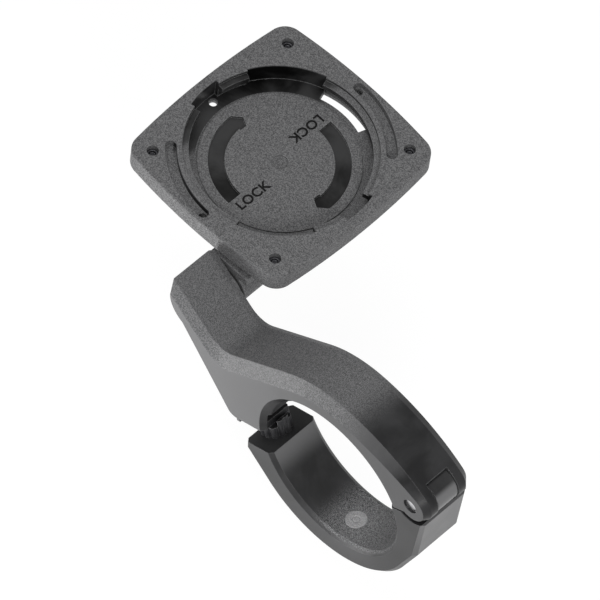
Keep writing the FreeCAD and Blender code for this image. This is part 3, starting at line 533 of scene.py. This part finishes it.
# The arm's and the strap's paler side colours are painted light; the cradle's paler edge colour is partly
# wear and partly a painted highlight
finishes = {
    "arm_plastic": plastic("arm_plastic", pits=(0.072, 0.072, 0.074), crests=(0.175, 0.175, 0.178),
                           smooth=(0.01, 0.01, 0.0105), sides_painted_light=(0.11, 0.11, 0.112),
                           mask_of=arm_grain, painted_light_of=arm_painted_light, specular=0.16),
    "strap_plastic": plastic("strap_plastic", pits=(0.03, 0.03, 0.031), crests=(0.14, 0.14, 0.142),
                             smooth=(0.018, 0.018, 0.0185), sides_painted_light=(0.15, 0.15, 0.152),
                             mask_of=strap_grain, painted_light_of=strap_painted_light, specular=0.16),
    "cradle_plastic": plastic("cradle_plastic", pits=(0.075, 0.075, 0.077), crests=(0.205, 0.205, 0.208),
                              smooth=BLACK, mask_of=cradle_grain_and_shade, specular=0.14, edge=(0.3, 0.3, 0.305)),
    "mark_plastic": plastic("mark_plastic", pits=(0.12, 0.12, 0.122), crests=(0.2, 0.2, 0.202),
                            smooth=(0.13, 0.13, 0.132), mask_of=strap_grain),
    "lettering": plastic("lettering", pits=BLACK, crests=(0.004, 0.004, 0.004), smooth=BLACK,
                         mask_of=cradle_grain_and_shade, specular=0.1, edge=(0.03, 0.03, 0.03)),
    "bright_steel": metal("bright_steel", colour=(0.62, 0.62, 0.63), lined=(0.5, 0.5, 0.51), rough=0.28,
                          lines=TURNED_SCALE, edge=(0.75, 0.75, 0.76)),
    "black_steel": metal("black_steel", colour=(0.045, 0.045, 0.05), lined=(0.03, 0.03, 0.034), rough=0.38,
                         lines=7000.0, edge=(0.22, 0.22, 0.23), metallic=0.7),
    "black_metal": metal("black_metal", colour=(0.05, 0.05, 0.053), lined=(0.025, 0.025, 0.027), rough=0.42,
                         lines=6000.0, edge=(0.2, 0.2, 0.205), metallic=0.6),
    "brass": metal("brass", colour=(0.72, 0.53, 0.27), lined=(0.6, 0.43, 0.2), rough=0.3,
                   lines=TURNED_SCALE, edge=(0.85, 0.68, 0.4)),
    "black_nylon": plastic("black_nylon", pits=(0.015, 0.015, 0.015), crests=(0.03, 0.03, 0.03),
                           smooth=(0.018, 0.018, 0.018), mask_of=strap_grain),
}

# The strap is of the arm's plastic, with its own grained places and with painted light on its back and
# sides
own_finish = {"strap": "strap_plastic"}
for name, piece in nodes.items():
    for holder in piece.material_slots:
        stated = holder.material.name.split(".")[0]
        holder.material = finishes[own_finish.get(name, stated)]


# The words on the disc: their size and place, then the stroke against a letter size of one
WORD_LENGTH = 7.5 * MM
WORD_HEIGHT = 1.9 * MM
WORD_RAISE = 0.12 * MM
WORD_TOP = 0.8 * MM
WORD_START = 12.2 * MM
WORD_SUNK_SHARE = 0.3
LETTER_SPACING = 1.06
STROKE_SWELL = 0.012
STROKE_DEPTH = 0.02
STROKE_BEVEL = 0.006


def lock_word():
    """The word that shows where the computer locks, as thin raised strokes across the disc."""
    bpy.ops.object.select_all(action="DESELECT")
    bpy.ops.object.text_add()
    word = named("lock_word")
    word.data.body = "LOCK"
    word.data.size = 1.0
    word.data.space_character = LETTER_SPACING
    word.data.offset = STROKE_SWELL
    word.data.extrude = STROKE_DEPTH
    word.data.bevel_depth = STROKE_BEVEL
    word.data.bevel_resolution = 1
    select_only(word)
    bpy.ops.object.convert(target="MESH")
    word = bpy.context.object
    corners = [vertex.co for vertex in word.data.vertices]
    low = Vector(min(corner[axis] for corner in corners) for axis in range(3))
    high = Vector(max(corner[axis] for corner in corners) for axis in range(3))
    scale = Matrix.Diagonal((WORD_LENGTH / (high.x - low.x), WORD_HEIGHT / (high.y - low.y),
                             WORD_RAISE / (high.z - low.z), 1.0))
    turn = Matrix.Rotation(math.radians(-90.0), 4, "Z")
    start = Matrix.Translation((-WORD_TOP - WORD_HEIGHT, WORD_START, disc_z - WORD_RAISE * WORD_SUNK_SHARE))
    word.data.transform(start @ turn @ scale @ Matrix.Translation(-low))
    return word


centre = Matrix.Translation((dial_x, dial_y, 0.0))
half_turn = Matrix.Rotation(math.pi, 4, "Z")
near_word = lock_word()
far_word = copy_of(near_word, "lock_word_far", centre @ half_turn)
near_word.data.transform(centre)
near_word.name = "lock_word_near"


# The mark left by a turning insert of the mould, low in the strap's bore, and the tick on it
MARK_RADIUS = 2.05 * MM
MARK_RAISE = 0.14 * MM
MARK_SINK = 0.04 * MM
MARK_LOW = -15.5 * MM
MARK_BEHIND = -3.5 * MM
MARK_ANGLE = math.atan2(MARK_LOW, MARK_BEHIND)
MARK_Y = 0.5 * MM
MARK_SIDES = 56
MARK_STEPS = ((0.16, 0.05), (1.05, 0.0), (0.1, -0.07), (0.14, 0.0), (0.1, 0.07))
TICK_REACH = 0.95 * MM
TICK_SIZE = (0.7 * MM, 0.22 * MM, 0.12 * MM)
TICK_EDGE = 0.04 * MM


def mould_mark():
    """A shallow round island with a small ring and a tick on it, laid on the bore of the strap."""
    bpy.ops.object.select_all(action="DESELECT")
    bpy.ops.mesh.primitive_circle_add(vertices=MARK_SIDES, radius=MARK_RADIUS, fill_type="NGON")
    mark = named("mould_mark")
    pick_all()
    bpy.ops.mesh.extrude_region_move(TRANSFORM_OT_translate={"value": (0.0, 0.0, MARK_RAISE)})
    step_inwards(MARK_STEPS)
    done()
    bpy.ops.mesh.primitive_cube_add(size=1.0, rotation=(0.0, 0.0, math.radians(45.0)), scale=TICK_SIZE,
                                    location=(TICK_REACH, -TICK_REACH, MARK_RAISE + TICK_SIZE[2] / 2.0))
    tick = named("tick")
    pick_all()
    bpy.ops.mesh.bevel(offset=TICK_EDGE, segments=2)
    done()
    settle(tick)
    mark = joined("mould_mark", [tick, mark])
    # Its flat form is wrapped onto the bore: along Y, and round it by the angle of its other side
    for vertex in mark.data.vertices:
        turn = MARK_ANGLE + vertex.co.y / BORE_RADIUS
        reach = BORE_RADIUS + MARK_SINK - vertex.co.z
        vertex.co = Vector((reach * math.cos(turn), MARK_Y + vertex.co.x, reach * math.sin(turn)))
    return mark


mark = mould_mark()


# The corner screws: sizes, the steps of the shank's end, the cross recess, and how far each is turned
SHANK_RADIUS = 1.05 * MM
SHANK_SIDES = 32
SHANK_STEPS = ((0.3, -0.02), (0.25, -0.35))
HEAD_RADIUS = 1.6 * MM
HEAD_HEIGHT = 1.0 * MM
HEAD_SIDES = 48
HEAD_EDGE = 0.42 * MM
CROSS_SIZE = (2.0 * MM, 0.42 * MM, 1.3 * MM)
CROSS_TURNS = (20.0, 110.0)
SCREW_TURN_X = 37.0
SCREW_TURN_Y = 15.0
SMOOTH_UNDER = math.radians(35.0)


def corner_screw():
    """A pan-head screw for plastic, upside down: its head below, its hollowed end above."""
    bpy.ops.object.select_all(action="DESELECT")
    length = screw_high.z - screw_low.z - HEAD_HEIGHT
    bpy.ops.mesh.primitive_cylinder_add(vertices=SHANK_SIDES, radius=SHANK_RADIUS, depth=length,
                                        location=(0.0, 0.0, length / 2.0))
    shank = named("shank")
    settle(shank)
    pick(shank, faces_up)
    step_inwards(SHANK_STEPS)
    done()
    bpy.ops.mesh.primitive_cylinder_add(vertices=HEAD_SIDES, radius=HEAD_RADIUS, depth=HEAD_HEIGHT,
                                        location=(0.0, 0.0, -HEAD_HEIGHT / 2.0))
    head = named("head")
    settle(head)
    pick(head, faces_down)
    bpy.ops.mesh.bevel(offset=HEAD_EDGE, segments=4)
    done()
    for turn in CROSS_TURNS:
        bpy.ops.mesh.primitive_cube_add(size=1.0, location=(0.0, 0.0, -HEAD_HEIGHT), scale=CROSS_SIZE,
                                        rotation=(0.0, 0.0, math.radians(turn)))
        blade = named("blade")
        settle(blade)
        cut = head.modifiers.new("recess", "BOOLEAN")
        cut.operation = "DIFFERENCE"
        cut.solver = "EXACT"
        cut.object = blade
        select_only(head)
        bpy.ops.object.modifier_apply(modifier=cut.name)
        bpy.data.objects.remove(blade)
    return joined("corner_screw", [head, shank])


screw = corner_screw()
reach_x = (screw_high.x - screw_low.x) / 2.0 - HEAD_RADIUS
reach_y = (screw_high.y - screw_low.y) / 2.0 - HEAD_RADIUS
screws = []
for side_x in (-1.0, 1.0):
    for side_y in (-1.0, 1.0):
        place = Vector((dial_x + side_x * reach_x, dial_y + side_y * reach_y, screw_low.z + HEAD_HEIGHT))
        turned = Matrix.Rotation(math.radians(SCREW_TURN_X * side_x + SCREW_TURN_Y * side_y), 4, "Z")
        screws.append(copy_of(screw, "corner_screw_copy", Matrix.Translation(place) @ turned))
bpy.data.objects.remove(screw)
screws = joined("corner_screws_turned", screws)
select_only(screws)
bpy.ops.object.shade_smooth_by_angle(angle=SMOOTH_UNDER)


# Marks under the hub, where the mould's pins pushed the base out
PUSH_RADIUS = 1.25 * MM
PUSH_DEPTH = 0.3 * MM
PUSH_REACH = 9.6 * MM
PUSH_SIDES = 40
PUSH_STEPS = ((0.12, 0.02), (0.1, -0.04))
PUSH_TURNS = (30.0, 110.0, 200.0, 290.0)
PUSH_SUNK_SHARE = 0.2


def pushed_marks():
    """Four faint round witness marks under the base's hub, each with a soft rim."""
    bpy.ops.object.select_all(action="DESELECT")
    bpy.ops.mesh.primitive_cylinder_add(vertices=PUSH_SIDES, radius=PUSH_RADIUS, depth=PUSH_DEPTH)
    first = named("push_mark")
    pick(first, faces_down)
    step_inwards(PUSH_STEPS)
    done()
    marks = []
    for turn in PUSH_TURNS:
        angle = math.radians(turn)
        place = Vector((dial_x + PUSH_REACH * math.cos(angle), dial_y + PUSH_REACH * math.sin(angle),
                        hub_bottom + PUSH_DEPTH * PUSH_SUNK_SHARE))
        marks.append(copy_of(first, "push_mark_copy", Matrix.Translation(place)))
    bpy.data.objects.remove(first)
    return joined("push_marks", marks)


marks_below = pushed_marks()


# The camera of the photograph: its axes, its distance, and what it aims at, right and up from the origin
CAMERA_RIGHT = (-0.7098, -0.6995, 0.0825)
CAMERA_BACK = (-0.3117, 0.4170, 0.8538)
CAMERA_DISTANCE = 1.3925
CAMERA_AIM = (-0.00911, 0.0283)
CAMERA_LENS = 474.2
CAMERA_SENSOR = 36.0
CAMERA_REACH = 20.0


def make_camera():
    """A camera far away, above the near side and a little behind."""
    back = Vector(CAMERA_BACK).normalized()
    up = back.cross(Vector(CAMERA_RIGHT)).normalized()
    right = up.cross(back)
    place = back * CAMERA_DISTANCE
    aim = right * CAMERA_AIM[0] + up * CAMERA_AIM[1]
    back = (place - aim).normalized()
    right = up.cross(back).normalized()
    up = back.cross(right)
    bpy.ops.object.camera_add()
    camera = bpy.context.object
    camera.matrix_world = Matrix.Translation(place) @ Matrix((right, up, back)).transposed().to_4x4()
    camera.data.sensor_width = CAMERA_SENSOR
    camera.data.lens = CAMERA_LENS
    camera.data.clip_end = CAMERA_REACH
    bpy.context.scene.camera = camera


make_camera()


# The lamps
def make_lamp(kind, name, place, target, power):
    """A lamp at a place, turned to what it lights."""
    bpy.ops.object.light_add(type=kind, location=place)
    lamp = bpy.context.object
    lamp.name = name
    lamp.data.energy = power
    lamp.rotation_euler = (Vector(target) - Vector(place)).to_track_quat("-Z", "Y").to_euler()
    return lamp.data


side_light = make_lamp("AREA", "side_light", place=(0.06, 0.07, -0.03), target=(0.02, 0.0, 0.0),
                       power=0.12)
side_light.size = 0.04
top_light = make_lamp("AREA", "top_light", place=(0.2, 0.08, 0.7), target=(0.02, -0.01, 0.0),
                      power=1.7)
top_light.size = 0.45
rear_light = make_lamp("AREA", "rear_light", place=(-0.25, 0.15, 0.25), target=(0.01, -0.01, 0.01),
                       power=0.65)
rear_light.size = 0.12

# One soft pool of light low in the strap's bore
bore_light = make_lamp("SPOT", "bore_light", place=(-0.01, 0.06, 0.05), target=(-0.0048, -0.0005, -0.0152),
                       power=0.6)
bore_light.spot_size = math.radians(9.5)
bore_light.spot_blend = 1.0
bore_light.shadow_soft_size = 0.006


# The floor and the room: white where they are seen, and plainer as light
WHITE_SEEN = 1.06
FLOOR_LIGHT = 0.9
ROOM_LIGHT = 0.35
FLOOR_SIZE = 6.0
FLOOR_GAP = 12.0 * MM
FLOOR_GREY = (0.9, 0.9, 0.9, 1.0)
SHADOW_SHARE = 0.12
WHITE = (1.0, 1.0, 1.0, 1.0)


def white_level(tree, plain):
    """White to the camera and in reflections and glass, and a plainer level as light."""
    path = add_node(tree, "ShaderNodeLightPath").outputs
    mirrored = calculate(tree, "MAXIMUM", path["Is Glossy Ray"], path["Is Transmission Ray"])
    seen = calculate(tree, "MAXIMUM", path["Is Camera Ray"], mirrored)
    return blend_values(tree, seen, plain, WHITE_SEEN)


def mix_shaders(tree, amount, first, second):
    """Two shaders mixed by a number or a mask."""
    item = add_node(tree, "ShaderNodeMixShader")
    give(tree, amount, item.inputs[0])
    tree.links.new(first, item.inputs[1])
    tree.links.new(second, item.inputs[2])
    return item.outputs[0]


def make_floor():
    """A pale floor under the object that keeps a trace of its shadow, and is clear from below."""
    bpy.ops.mesh.primitive_plane_add(size=FLOOR_SIZE, location=(0.0, 0.0, cad_box[0][2] - FLOOR_GAP))
    floor = named("floor")
    settle(floor)
    material = bpy.data.materials.new("floor_white")
    material.use_nodes = True
    tree = material.node_tree
    tree.nodes.clear()
    leave = add_node(tree, "ShaderNodeOutputMaterial")
    matt = add_node(tree, "ShaderNodeBsdfDiffuse", {"Color": FLOOR_GREY})
    glow = add_node(tree, "ShaderNodeEmission")
    tree.links.new(white_level(tree, FLOOR_LIGHT), glow.inputs["Strength"])
    above = mix_shaders(tree, SHADOW_SHARE, glow.outputs[0], matt.outputs[0])
    clear = add_node(tree, "ShaderNodeBsdfTransparent")
    behind = add_node(tree, "ShaderNodeNewGeometry").outputs["Backfacing"]
    tree.links.new(mix_shaders(tree, behind, above, clear.outputs[0]), leave.inputs["Surface"])
    floor.data.materials.append(material)


def make_world():
    """An even pale room."""
    world = bpy.data.worlds.new("pale_room")
    bpy.context.scene.world = world
    world.use_nodes = True
    tree = world.node_tree
    tree.nodes.clear()
    leave = add_node(tree, "ShaderNodeOutputWorld")
    sky = add_node(tree, "ShaderNodeBackground", {"Color": WHITE})
    tree.links.new(white_level(tree, ROOM_LIGHT), sky.inputs["Strength"])
    tree.links.new(sky.outputs[0], leave.inputs["Surface"])


make_floor()
make_world()
bpy.context.scene.view_settings.view_transform = "Standard"


# What each new piece rides on and takes its finish from
def fit(piece, body, finish):
    """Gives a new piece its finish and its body."""
    piece.data.materials.clear()
    piece.data.materials.append(finishes[finish])
    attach(piece, body)


fit(near_word, "cradle", "lettering")
fit(far_word, "cradle", "lettering")
fit(mark, "strap", "mark_plastic")
fit(screws, "cradle", "black_steel")
fit(marks_below, "cradle", "cradle_plastic")
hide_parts("corner_screws")
